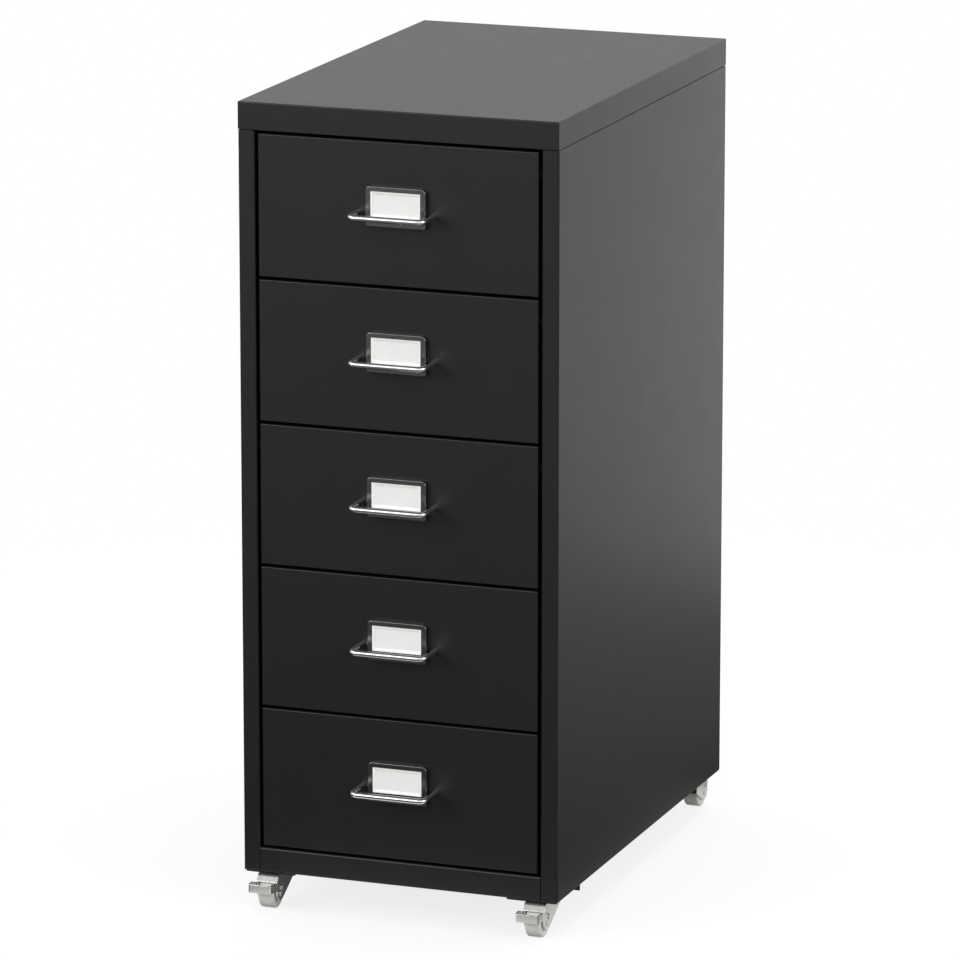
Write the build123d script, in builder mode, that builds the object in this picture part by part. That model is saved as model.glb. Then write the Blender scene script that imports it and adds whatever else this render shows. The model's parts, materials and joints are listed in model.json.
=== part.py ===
from build123d import *
import os

# Small sheet-metal drawer cabinet on castors, in millimetres.
# The front faces -Y and +Z is up. The origin is on the floor, at the middle of the whole
# object's width and depth, with the pulls and the rear wheels counted in.

# ---------------------------------------------------------------- driving dimensions
overall_width = 280.0
overall_height = 690.0
casing_depth = 430.0

# sheet metal
sheet = 1.0
bend_radius = 1.6
cover_edge_radius = 1.0
hidden_seam = 0.15

# top cover
cover_lip = 23.1
cover_nose = 0.7
cover_groove = 0.8
cover_fit = 0.2

# posts, rail and the shell behind them
post_width = 14.6
post_return = 12.0
rear_return = 12.0
bottom_flange = 30.0
flange_set = 2.0
rail_height = 21.0
rail_flange = 14.0
top_rail_depth = 14.0
top_rail_lift = 1.1
rear_corner_chamfer = 2.5
front_corner_chamfer = 0.8
back_recess = 1.0

# drawers
drawer_count = 5
drawer_gap = 2.5
drawer_top_gap = 2.9
drawer_side_gap = 3.1
front_return = 12.0
front_edge_radius = 0.8
tray_sheet = 0.9
tray_width = 236.0
tray_lift = 4.5
tray_rim_drop = 16.0
tray_rear_gap = 14.0
slide_flange = 6.0
drawer_travel = 300.0

# runners on the side panels
runner_sheet = 1.2
runner_web = 14.0
runner_front_set = 4.0
slide_clearance = 0.2
runner_side_gap = 0.8
lug_length = 8.0
lug_width = 5.0
lug_height = 4.0
lug_clearance = 0.5
stop_height = 5.0

# rod pull
pull_reach = 30.0
pull_width = 69.5
pull_rod = 5.0
pull_bend = 5.0
pull_drop = 59.0

# label frame and card
frame_width = 52.5
frame_height = 33.5
frame_drop = 36.5
frame_depth = 4.5
frame_corner = 4.0
frame_low_corner = 2.0
frame_edge = 0.6
window_width = 42.6
window_height = 20.8
window_top_bezel = 4.4
window_bevel = 1.8
window_bevel_depth = 1.0
card_slot = 0.6
card_thickness = 0.4
card_margin = 1.0
card_play = 0.3
frame_stud_spacing = 36.0
frame_stud_radius = 1.5
frame_stud_head_radius = 2.6
frame_stud_head = 1.0
frame_stud_height = 8.0

# screws
screw_radius = 1.5
screw_clearance = 0.15
screw_head_radius = 3.0
screw_head = 1.8
pull_screw_grip = 7.0
pull_screw_relief = 1.5
casing_head = 1.0
casing_head_radius = 3.1
casing_screw_length = 6.0
back_screw_rows = 5
back_screw_inset = 7.0
back_screw_end = 40.0

# castors
wheel_radius = 12.5
wheel_width = 14.0
wheel_edge_radius = 2.2
wheel_hub_radius = 4.5
wheel_groove_radius = 9.0
wheel_groove_depth = 0.9
axle_radius = 2.0
axle_head_radius = 2.6
axle_head = 0.9
running_clearance = 0.05
side_clearance = 0.8
fork_sheet = 1.5
wheel_top_gap = 3.5
swivel_gap = 1.5
castor_trail = 21.0
castor_inset_x = 20.5
castor_inset_y = 29.5
swivel_head_reach = 15.0
cheek_rear_depth = 5.0
cheek_nose = 7.5
cheek_foot_drop = 6.0
cheek_foot_front = 3.0
cheek_heel_drop = 5.1
cheek_heel_rear = 4.2
cheek_bend = 3.0
cheek_corner = 0.5
hood_start = 4.5
hood_bend = 5.0
hood_overlap = 3.0
hood_tip_drop = 1.5
stem_radius = 4.0
stem_collar_radius = 7.0
stem_head_radius = 6.0
stem_head = 1.3
stem_play = 0.2
stem_nut_across = 11.0
stem_nut_height = 4.0
stem_tip = 1.5

# brackets that carry the castors
bracket_sheet = 1.5
bracket_width = 43.4
bracket_length = 61.5
bracket_inset = 1.5
bracket_lip = 4.8
bracket_screw_inset = 7.0

# brake pedals
pedal_sheet = 1.2
pedal_width = 20.0
pedal_reach = 25.5
pedal_height = 7.2
pedal_top_gap = 0.9
pedal_side_gap = 0.4
pedal_shoulder = 9.0
pedal_tail = 3.5
pedal_bend = 1.8
pedal_corner = 0.5
pedal_pivot_lead = 1.0
pedal_pivot_rise = 5.9
pedal_boss_radius = 3.0
pedal_boss_bend = 2.4
pedal_pin_radius = 1.5
pedal_pin_head_radius = 2.4
pedal_pin_head = 0.8
shoe_gap = 1.0
shoe_thickness = 1.5
shoe_width = 13.0

# ---------------------------------------------------------------- derived places
half_width = overall_width / 2
axle_inset = castor_inset_y - castor_trail
rear_overhang = max(wheel_radius - axle_inset, casing_head)
overall_depth = pull_reach + casing_depth + rear_overhang
front_y = pull_reach - overall_depth / 2
rear_y = front_y + casing_depth

castor_drop = 2 * wheel_radius + wheel_top_gap + fork_sheet + swivel_gap + bracket_sheet
casing_z = castor_drop
fork_top = castor_drop - bracket_sheet - swivel_gap
bracket_z = castor_drop - bracket_sheet
floor_panel_z = casing_z + sheet
cover_bottom = overall_height - cover_lip
cover_under = overall_height - sheet
shoulder_top = cover_bottom - cover_groove
rail_top = casing_z + rail_height

drawer_pitch = (cover_bottom - drawer_top_gap + drawer_gap - rail_top - drawer_gap) / drawer_count
drawer_height = drawer_pitch - drawer_gap
drawer_width = overall_width - 2 * (post_width + drawer_side_gap)

tray_front = front_y + sheet
tray_rear = rear_y - back_recess - sheet - tray_rear_gap
tray_height = drawer_height - tray_lift - tray_rim_drop
slide_start = front_y + front_return + hidden_seam
runner_front = front_y + post_return + runner_front_set
stop_rear = runner_front + runner_sheet
lug_front = stop_rear + drawer_travel + lug_clearance
runner_edge = tray_width / 2 + runner_side_gap
side_inner = half_width - sheet
slot_y = front_y - frame_depth + window_bevel_depth + card_slot
card_drop = window_top_bezel + window_height + card_margin

wheel_half = wheel_width / 2
cheek_inner = wheel_half + side_clearance
cheek_outer = cheek_inner + fork_sheet
axle_z = wheel_radius
pivot_u = castor_trail + pedal_pivot_lead
pivot_z = axle_z + pedal_pivot_rise
lip_bottom = bracket_z - bracket_lip
pedal_top = lip_bottom - pedal_top_gap
pedal_arm_outer = cheek_outer + pedal_side_gap + pedal_sheet
castor_x = half_width - castor_inset_x


def drawer_floor(level):
    """Height of the lower edge of a drawer front, counted from the top drawer down."""
    return rail_top + drawer_gap + (drawer_count - level) * drawer_pitch


def facing_front(y, z):
    """Plane that looks out of the front: its x runs to the right and its y runs up."""
    return Plane(origin=(0, y, z), x_dir=(1, 0, 0), z_dir=(0, -1, 0))


def facing_right(x):
    """Plane square to X: its x runs to the back and its y runs up."""
    return Plane(origin=(x, 0, 0), x_dir=(0, 1, 0), z_dir=(1, 0, 0))


def save(part, name):
    part.label = name
    export_step(part, f"parts/{name}.step")


# ---------------------------------------------------------------- casing
def make_top_cover():
    depth = casing_depth + cover_nose
    middle = rear_y - depth / 2
    with BuildPart() as cover:
        with BuildSketch(Plane.XY.offset(cover_bottom)):
            with Locations((0, middle)):
                Rectangle(overall_width, depth)
        extrude(amount=cover_lip)
        underside = cover.faces().sort_by(Axis.Z)[0]
        offset(amount=-sheet, openings=underside)
        upright = cover.edges().filter_by(Axis.Z).filter_by(lambda e: abs(e.center().X) > side_inner)
        rim = cover.edges().filter_by(lambda e: e.center().Z > cover_under + sheet / 2)
        fillet(upright + rim.filter_by(Axis.Z, reverse=True), cover_edge_radius)
    return cover.part


def make_side_panel(side):
    """Side sheet with its folded front post, rear return, bottom flange and inset top strip."""
    outer = side * half_width
    post_edge = side * (half_width - post_width)
    rear_edge = side * (half_width - rear_return)
    inner_side = Side.LEFT if side > 0 else Side.RIGHT
    strip_mid = side * (side_inner - cover_fit - sheet / 2)
    with BuildPart() as panel:
        with BuildSketch(Plane.XY.offset(casing_z)):
            with BuildLine():
                FilletPolyline(
                    (post_edge, front_y + post_return),
                    (post_edge, front_y),
                    (outer, front_y),
                    (outer, rear_y),
                    (rear_edge, rear_y),
                    radius=bend_radius,
                )
                offset(amount=sheet, side=inner_side)
            make_face()
        extrude(amount=shoulder_top - casing_z)
        with BuildSketch(Plane.XY.offset(casing_z)):
            with Locations((outer - side * (sheet + bottom_flange) / 2, (front_y + rear_y) / 2)):
                Rectangle(bottom_flange - sheet, casing_depth - 2 * flange_set)
        extrude(amount=sheet)
        with BuildSketch(Plane.XY.offset(shoulder_top - sheet)):
            with Locations((outer - side * (cover_fit + 2 * sheet) / 2, (front_y + rear_y) / 2)):
                Rectangle(cover_fit + 2 * sheet, casing_depth - 2 * flange_set)
        extrude(amount=sheet)
        with BuildSketch(Plane.XY.offset(shoulder_top - sheet)):
            with Locations((strip_mid, (front_y + rear_y) / 2)):
                Rectangle(sheet, casing_depth - 2 * flange_set)
        extrude(amount=cover_under - shoulder_top + sheet)
        with BuildSketch(facing_right(outer)):
            for y, toward, chamfer_size in (
                (front_y, 1, front_corner_chamfer),
                (rear_y, -1, rear_corner_chamfer),
            ):
                with BuildLine():
                    Polyline(
                        (y, casing_z),
                        (y + toward * chamfer_size, casing_z),
                        (y, casing_z + chamfer_size),
                        close=True,
                    )
                make_face()
        extrude(amount=-side * overall_width / 4, mode=Mode.SUBTRACT)
        with BuildSketch(Plane.XY.offset(casing_z)):
            with Locations(*bracket_screw_places(side)):
                Circle(screw_radius + screw_clearance)
            with Locations(*castor_places(side)):
                Circle(stem_radius + screw_clearance)
        extrude(amount=sheet, mode=Mode.SUBTRACT)
        with BuildSketch(facing_front(rear_y, 0)):
            with Locations(*back_screw_places(side)):
                Circle(screw_radius + screw_clearance)
        extrude(amount=sheet, mode=Mode.SUBTRACT)
    return panel.part


def castor_places(side):
    """The two swivel axes on one side, front then rear."""
    return [
        (side * castor_x, front_y + castor_inset_y),
        (side * castor_x, rear_y - castor_inset_y),
    ]


def bracket_screw_places(side):
    """Three screws through each bracket of one side: two by the lip and one in the outer corner."""
    inboard = half_width - bottom_flange + bracket_screw_inset / 2
    outboard = half_width - bracket_inset - bracket_screw_inset
    places = []
    for end_y, toward in ((front_y, 1), (rear_y, -1)):
        by_lip = end_y + toward * (bracket_length - bracket_sheet - bracket_screw_inset)
        by_corner = end_y + toward * (bracket_inset + bracket_screw_inset)
        places.append((side * inboard, by_lip))
        places.append((side * outboard, by_lip))
        places.append((side * outboard, by_corner))
    return places


def back_screw_places(side):
    """Heights of the screws that fix the back panel to one side panel's rear return."""
    low = casing_z + back_screw_end
    high = shoulder_top - back_screw_end
    step = (high - low) / (back_screw_rows - 1)
    return [(side * (half_width - back_screw_inset), low + step * row) for row in range(back_screw_rows)]


def make_back_panel():
    back_face = rear_y - back_recess
    low = floor_panel_z
    with BuildPart() as back:
        with BuildSketch(facing_front(back_face, (low + cover_under) / 2)):
            Rectangle(2 * (side_inner - cover_fit - sheet - hidden_seam), cover_under - low)
        extrude(amount=sheet)
        with BuildSketch(facing_front(back_face, 0)):
            with Locations(*back_screw_places(1), *back_screw_places(-1)):
                Circle(screw_radius)
        extrude(amount=sheet, mode=Mode.SUBTRACT)
    return back.part


def make_bottom_panel():
    """Flat floor that lies on the bottom flanges, notched around the folded posts."""
    depth = casing_depth - flange_set - sheet - back_recess
    post_room = post_width + hidden_seam
    return_room = post_return + hidden_seam
    with BuildPart() as bottom:
        with BuildSketch(Plane.XY.offset(floor_panel_z)):
            with Locations((0, front_y + flange_set + depth / 2)):
                Rectangle(2 * (side_inner - hidden_seam), depth)
            for side in (-1, 1):
                with Locations((side * half_width, front_y)):
                    Rectangle(2 * post_room, 2 * return_room, mode=Mode.SUBTRACT)
                with Locations(*bracket_screw_places(side)):
                    Circle(screw_radius, mode=Mode.SUBTRACT)
                with Locations(*castor_places(side)):
                    Circle(stem_radius + screw_clearance, mode=Mode.SUBTRACT)
        extrude(amount=sheet)
    return bottom.part


def make_bottom_rail():
    """Visible rail between the posts, folded back along its top and bottom edges."""
    rail_half = half_width - post_width - hidden_seam
    with BuildPart() as rail:
        with BuildSketch(facing_right(-rail_half)):
            with BuildLine():
                FilletPolyline(
                    (front_y + post_return, rail_top),
                    (front_y, rail_top),
                    (front_y, casing_z),
                    (front_y + rail_flange, casing_z),
                    radius=bend_radius,
                )
                offset(amount=sheet, side=Side.LEFT)
            make_face()
        extrude(amount=2 * rail_half)
        with BuildSketch(Plane.XY.offset(casing_z)):
            for side in (-1, 1):
                with Locations((side * half_width, front_y + casing_depth / 2)):
                    Rectangle(2 * bottom_flange + 2 * hidden_seam, casing_depth)
            with Locations((0, front_y)):
                Rectangle(overall_width, 2 * bend_radius, mode=Mode.SUBTRACT)
        extrude(amount=sheet, mode=Mode.SUBTRACT)
    return rail.part


def make_top_rail():
    """Channel behind the cover's front lip; it ties the side panels and carries the cover."""
    rail_half = side_inner - cover_fit - sheet
    face = front_y - cover_nose + sheet
    low = cover_bottom + top_rail_lift
    with BuildPart() as rail:
        with BuildSketch(facing_right(-rail_half)):
            with BuildLine():
                FilletPolyline(
                    (face + top_rail_depth, cover_under),
                    (face, cover_under),
                    (face, low),
                    (face + top_rail_depth, low),
                    radius=bend_radius,
                )
                offset(amount=sheet, side=Side.LEFT)
            make_face()
        extrude(amount=2 * rail_half)
    return rail.part


def make_runners(side):
    """Angle runners on one side panel. Each has a down-turned front stop and an up-turned rear stop."""
    rear = tray_rear + lug_clearance + runner_sheet
    length = rear - runner_front
    with BuildPart() as runners:
        for level in range(1, drawer_count + 1):
            seat = drawer_floor(level) + tray_lift + tray_height - tray_sheet - slide_clearance
            under = seat - runner_sheet
            ledge_width = side_inner - runner_edge
            ledge_mid = side * (runner_edge + ledge_width / 2)
            with BuildSketch(Plane.XY.offset(under)):
                with Locations((ledge_mid, runner_front + length / 2)):
                    Rectangle(ledge_width, length)
            extrude(amount=runner_sheet)
            with BuildSketch(Plane.XY.offset(seat - runner_web)):
                with Locations((side * (side_inner - runner_sheet / 2), runner_front + length / 2)):
                    Rectangle(runner_sheet, length)
            extrude(amount=runner_web)
            with BuildSketch(Plane.XY.offset(under - stop_height)):
                with Locations((ledge_mid, runner_front + runner_sheet / 2)):
                    Rectangle(ledge_width, runner_sheet)
            extrude(amount=stop_height)
            with BuildSketch(Plane.XY.offset(seat)):
                with Locations((ledge_mid, rear - runner_sheet / 2)):
                    Rectangle(ledge_width, runner_sheet)
            extrude(amount=stop_height)
    return runners.part


# ---------------------------------------------------------------- drawers
def make_drawer_front(level):
    """Folded pan whose face lies flush with the posts."""
    low = drawer_floor(level)
    with BuildPart() as front:
        with BuildSketch(facing_front(front_y + front_return, low + drawer_height / 2)):
            Rectangle(drawer_width, drawer_height)
        extrude(amount=front_return)
        open_back = front.faces().sort_by(Axis.Y)[-1]
        offset(amount=-sheet, openings=open_back)
        face_edges = front.edges().filter_by(lambda e: abs(e.center().Y - front_y) < front_edge_radius)
        fillet(face_edges.filter_by(Axis.Y, reverse=True), front_edge_radius)
        with BuildSketch(facing_front(front_y, pull_height(level))):
            with Locations(*pull_leg_places()):
                Circle(screw_radius + screw_clearance)
        extrude(amount=-sheet, mode=Mode.SUBTRACT)
        with BuildSketch(facing_front(front_y, stud_height(level))):
            with Locations(*frame_stud_places()):
                Circle(frame_stud_radius)
        extrude(amount=-sheet, mode=Mode.SUBTRACT)
    return front.part


def pull_leg_places():
    spread = (pull_width - pull_rod) / 2
    return [(-spread, 0), (spread, 0)]


def pull_height(level):
    """Height of the pull's legs."""
    return drawer_floor(level) + drawer_height - pull_drop


def frame_stud_places():
    return [(-frame_stud_spacing / 2, 0), (frame_stud_spacing / 2, 0)]


def stud_height(level):
    """Height of the two studs that fix a label frame."""
    return frame_top(level) - frame_stud_height


def make_drawer_tray(level):
    """Open tray with slide flanges along its sides and a stop lug under each flange."""
    low = drawer_floor(level) + tray_lift
    rim = low + tray_height
    length = tray_rear - tray_front
    inner_front = tray_front + tray_sheet
    with BuildPart() as tray:
        with BuildSketch(Plane.XY.offset(low)):
            with Locations((0, tray_front + length / 2)):
                Rectangle(tray_width, length)
        extrude(amount=tray_height)
        open_top = tray.faces().sort_by(Axis.Z)[-1]
        offset(amount=-tray_sheet, openings=open_top)
        for side in (-1, 1):
            slide_length = tray_rear - slide_start
            with BuildSketch(Plane.XY.offset(rim - tray_sheet)):
                with Locations((side * (tray_width + slide_flange) / 2, slide_start + slide_length / 2)):
                    Rectangle(slide_flange, slide_length)
            extrude(amount=tray_sheet)
            lug_top = rim - tray_sheet - slide_clearance - runner_sheet - lug_clearance
            with BuildSketch(Plane.XY.offset(lug_top - lug_height)):
                with Locations((side * (tray_width + lug_width) / 2, lug_front + lug_length / 2)):
                    Rectangle(lug_width, lug_length)
            extrude(amount=lug_height)
        with BuildSketch(facing_front(inner_front, pull_height(level))):
            with Locations(*pull_leg_places()):
                Circle(screw_radius + screw_clearance)
        extrude(amount=tray_sheet, mode=Mode.SUBTRACT)
        with BuildSketch(facing_front(inner_front, stud_height(level))):
            with Locations(*frame_stud_places()):
                Circle(frame_stud_radius)
        extrude(amount=tray_sheet, mode=Mode.SUBTRACT)
    return tray.part


def make_pull(level):
    """Round rod bent twice, with its legs square to the drawer and tapped at their ends."""
    z = pull_height(level)
    leg = pull_leg_places()[1][0]
    bar_y = front_y - pull_reach + pull_rod / 2
    with BuildPart() as pull:
        with BuildLine(Plane.XY.offset(z)) as route:
            FilletPolyline((-leg, front_y), (-leg, bar_y), (leg, bar_y), (leg, front_y), radius=pull_bend)
        with BuildSketch(Plane(origin=route.line @ 0, z_dir=route.line % 0)):
            Circle(pull_rod / 2)
        sweep()
        with BuildSketch(facing_front(front_y, z)):
            with Locations(*pull_leg_places()):
                Circle(screw_radius)
        extrude(amount=pull_screw_grip + pull_screw_relief, mode=Mode.SUBTRACT)
    return pull.part


def make_pull_screws(level):
    z = pull_height(level)
    seat = tray_front + tray_sheet
    with BuildPart() as screws:
        with BuildSketch(facing_front(seat, z)):
            with Locations(*pull_leg_places()):
                Circle(screw_radius)
        extrude(amount=pull_screw_grip + sheet + tray_sheet)
        with BuildSketch(facing_front(seat, z)):
            with Locations(*pull_leg_places()):
                Circle(screw_head_radius)
        extrude(amount=-screw_head)
        head_rims = screws.edges().filter_by(GeomType.CIRCLE).group_by(Axis.Y)[-1]
        fillet(head_rims, screw_head / 2)
    return screws.part


def make_label_frame(level):
    """Raised frame with a bevelled window, a card slot open at the top and two fixing studs."""
    top = frame_top(level)
    window_mid = top - window_top_bezel - window_height / 2
    slot_floor = top - card_drop
    with BuildPart() as frame:
        with BuildSketch(facing_front(front_y, top - frame_height / 2)) as outline:
            Rectangle(frame_width, frame_height)
            fillet(outline.vertices().sort_by(Axis.Y)[-2:], frame_corner)
            fillet(outline.vertices().sort_by(Axis.Y)[:2], frame_low_corner)
        extrude(amount=frame_depth)
        front_rim = frame.edges().group_by(Axis.Y)[0]
        fillet(front_rim, frame_edge)
        with BuildSketch(facing_front(front_y - frame_depth, window_mid)):
            Rectangle(window_width, window_height)
        extrude(amount=-window_bevel_depth, taper=bevel_angle(), mode=Mode.SUBTRACT)
        with BuildSketch(facing_front(slot_y, (slot_floor + top) / 2)):
            Rectangle(window_width + 2 * card_margin, top - slot_floor)
        extrude(amount=card_slot, mode=Mode.SUBTRACT)
        with BuildSketch(facing_front(front_y, stud_height(level))):
            with Locations(*frame_stud_places()):
                Circle(frame_stud_radius)
        extrude(amount=-(sheet + tray_sheet))
        with BuildSketch(facing_front(front_y + sheet + tray_sheet, stud_height(level))):
            with Locations(*frame_stud_places()):
                Circle(frame_stud_head_radius)
        extrude(amount=-frame_stud_head)
    return frame.part


def frame_top(level):
    return drawer_floor(level) + drawer_height - frame_drop


def bevel_angle():
    """Taper that narrows the window by its bevel over the bevel's depth."""
    return Vector(window_bevel_depth, window_bevel, 0).get_angle(Vector(1, 0, 0))


def make_label_card(level):
    """Card that stands on the floor of its frame's slot, midway between the slot's faces."""
    card_height = window_height + 2 * card_margin
    card_mid = frame_top(level) - card_drop + card_height / 2
    with BuildPart() as card:
        with BuildSketch(facing_front(slot_y - (card_slot - card_thickness) / 2, card_mid)):
            Rectangle(window_width + 2 * (card_margin - card_play), card_height)
        extrude(amount=card_thickness)
    return card.part


# ---------------------------------------------------------------- castor mounting
def make_brackets():
    """Corner plates under the casing, each with a lip turned down at its inner end."""
    with BuildPart() as brackets:
        for side in (-1, 1):
            for end_y, toward in ((front_y, 1), (rear_y, -1)):
                middle_x = side * (half_width - bracket_inset - bracket_width / 2)
                near = end_y + toward * bracket_inset
                far = end_y + toward * bracket_length
                with BuildSketch(Plane.XY.offset(bracket_z)):
                    with Locations((middle_x, (near + far) / 2)):
                        Rectangle(bracket_width, bracket_length - bracket_inset)
                extrude(amount=bracket_sheet)
                with BuildSketch(Plane.XY.offset(lip_bottom)):
                    with Locations((middle_x, far - toward * bracket_sheet / 2)):
                        Rectangle(bracket_width, bracket_sheet)
                extrude(amount=bracket_lip)
            with BuildSketch(Plane.XY.offset(bracket_z)):
                with Locations(*bracket_screw_places(side)):
                    Circle(screw_radius + screw_clearance)
                with Locations(*castor_places(side)):
                    Circle(stem_radius)
            extrude(amount=bracket_sheet, mode=Mode.SUBTRACT)
    return brackets.part


def make_casing_screws():
    """Low-headed screws: up through the brackets, and forward through the back panel."""
    with BuildPart() as screws:
        for side in (-1, 1):
            with BuildSketch(Plane.XY.offset(bracket_z)):
                with Locations(*bracket_screw_places(side)):
                    Circle(screw_radius)
            extrude(amount=casing_screw_length)
            with BuildSketch(Plane.XY.offset(bracket_z)):
                with Locations(*bracket_screw_places(side)):
                    Circle(casing_head_radius)
            extrude(amount=-casing_head)
            with BuildSketch(facing_front(rear_y, 0)):
                with Locations(*back_screw_places(side)):
                    Circle(screw_radius)
            extrude(amount=casing_screw_length)
            with BuildSketch(facing_front(rear_y, 0)):
                with Locations(*back_screw_places(side)):
                    Circle(casing_head_radius)
            extrude(amount=-casing_head)
    return screws.part


def make_stems():
    """Swivel stems: a head under the fork, a collar above it and a threaded end through the casing."""
    head_top = fork_top - fork_sheet - stem_play
    thread_top = floor_panel_z + sheet + stem_nut_height + stem_tip
    places = castor_places(1) + castor_places(-1)
    with BuildPart() as stems:
        with BuildSketch(Plane.XY.offset(head_top - stem_head)):
            with Locations(*places):
                Circle(stem_head_radius)
        extrude(amount=stem_head)
        with BuildSketch(Plane.XY.offset(head_top)):
            with Locations(*places):
                Circle(stem_radius)
        extrude(amount=thread_top - head_top)
        with BuildSketch(Plane.XY.offset(fork_top + stem_play)):
            with Locations(*places):
                Circle(stem_collar_radius)
        extrude(amount=bracket_z - fork_top - stem_play)
    return stems.part


def make_stem_nuts():
    places = castor_places(1) + castor_places(-1)
    with BuildPart() as nuts:
        with BuildSketch(Plane.XY.offset(floor_panel_z + sheet)):
            with Locations(*places):
                RegularPolygon(stem_nut_across / 2, 6, major_radius=False)
                Circle(stem_radius, mode=Mode.SUBTRACT)
        extrude(amount=stem_nut_height)
    return nuts.part


# ---------------------------------------------------------------- castors
def castor_planes(side, end):
    """Side-view and plan planes of one castor: their x runs from the swivel axis to the wheel."""
    x, y = castor_places(side)[0 if end < 0 else 1]
    profile = Plane(origin=(x, y, 0), x_dir=(0, end, 0), z_dir=(end, 0, 0))
    plan = Plane(origin=(x, y, 0), x_dir=(0, end, 0), z_dir=(0, 0, 1))
    return profile, plan


def make_fork(profile, plan):
    """Pressed fork: a top plate, a hood curved down over the wheel and two swept cheeks."""
    hood_tip = castor_trail + wheel_radius - hood_overlap
    hood_tip_z = 2 * wheel_radius - hood_tip_drop
    nose = castor_trail + cheek_nose
    web_drop = fork_top - fork_sheet
    with BuildPart() as fork:
        with BuildSketch(profile):
            with BuildLine():
                FilletPolyline(
                    (-swivel_head_reach, fork_top),
                    (castor_trail + hood_start, fork_top),
                    (hood_tip, hood_tip_z),
                    (nose, hood_tip_z),
                    (nose, axle_z),
                    (castor_trail + cheek_foot_front, axle_z - cheek_foot_drop),
                    (castor_trail - cheek_heel_rear, axle_z - cheek_heel_drop),
                    (-swivel_head_reach, fork_top - cheek_rear_depth),
                    radius=(
                        cheek_corner,
                        hood_bend,
                        cheek_corner,
                        cheek_corner,
                        cheek_bend,
                        cheek_bend,
                        cheek_bend,
                        cheek_bend / 2,
                    ),
                    close=True,
                )
            make_face()
        extrude(amount=cheek_outer, both=True)
        with BuildSketch(profile):
            with BuildLine():
                FilletPolyline(
                    (-2 * swivel_head_reach, web_drop),
                    (castor_trail + hood_start - fork_sheet / 2, web_drop),
                    (hood_tip - fork_sheet, hood_tip_z),
                    (hood_tip - fork_sheet, -fork_top),
                    (-2 * swivel_head_reach, -fork_top),
                    radius=(0, hood_bend - fork_sheet, 0, 0, 0),
                    close=True,
                )
            make_face()
        extrude(amount=cheek_inner, both=True, mode=Mode.SUBTRACT)
        with BuildSketch(profile):
            with Locations((castor_trail, axle_z)):
                Circle(axle_radius)
            with Locations((pivot_u, pivot_z)):
                Circle(pedal_pin_radius)
        extrude(amount=cheek_outer, both=True, mode=Mode.SUBTRACT)
        with BuildSketch(plan.offset(web_drop)):
            Circle(stem_radius + running_clearance)
        extrude(amount=fork_sheet, mode=Mode.SUBTRACT)
    return fork.part


def make_wheel(profile):
    """Plain wheel with rounded tread edges and a shallow ring groove in each face."""
    with BuildPart() as wheel:
        with BuildSketch(profile):
            with Locations((castor_trail, axle_z)):
                Circle(wheel_radius)
        extrude(amount=wheel_half, both=True)
        fillet(wheel.edges().filter_by(GeomType.CIRCLE), wheel_edge_radius)
        for face in (-1, 1):
            with BuildSketch(profile.offset(face * wheel_half)):
                with Locations((castor_trail, axle_z)):
                    Circle(wheel_groove_radius)
                    Circle(wheel_hub_radius, mode=Mode.SUBTRACT)
            extrude(amount=-face * wheel_groove_depth, mode=Mode.SUBTRACT)
        with BuildSketch(profile):
            with Locations((castor_trail, axle_z)):
                Circle(axle_radius + running_clearance)
        extrude(amount=wheel_half, both=True, mode=Mode.SUBTRACT)
    return wheel.part


def make_axle(profile):
    with BuildPart() as axle:
        with BuildSketch(profile):
            with Locations((castor_trail, axle_z)):
                Circle(axle_radius)
        extrude(amount=cheek_outer + axle_head, both=True)
        for face in (-1, 1):
            with BuildSketch(profile.offset(face * cheek_outer)):
                with Locations((castor_trail, axle_z)):
                    Circle(axle_head_radius)
            extrude(amount=face * axle_head)
        fillet(axle.edges().group_by(Axis.X)[0] + axle.edges().group_by(Axis.X)[-1], axle_head / 2)
    return axle.part


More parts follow.
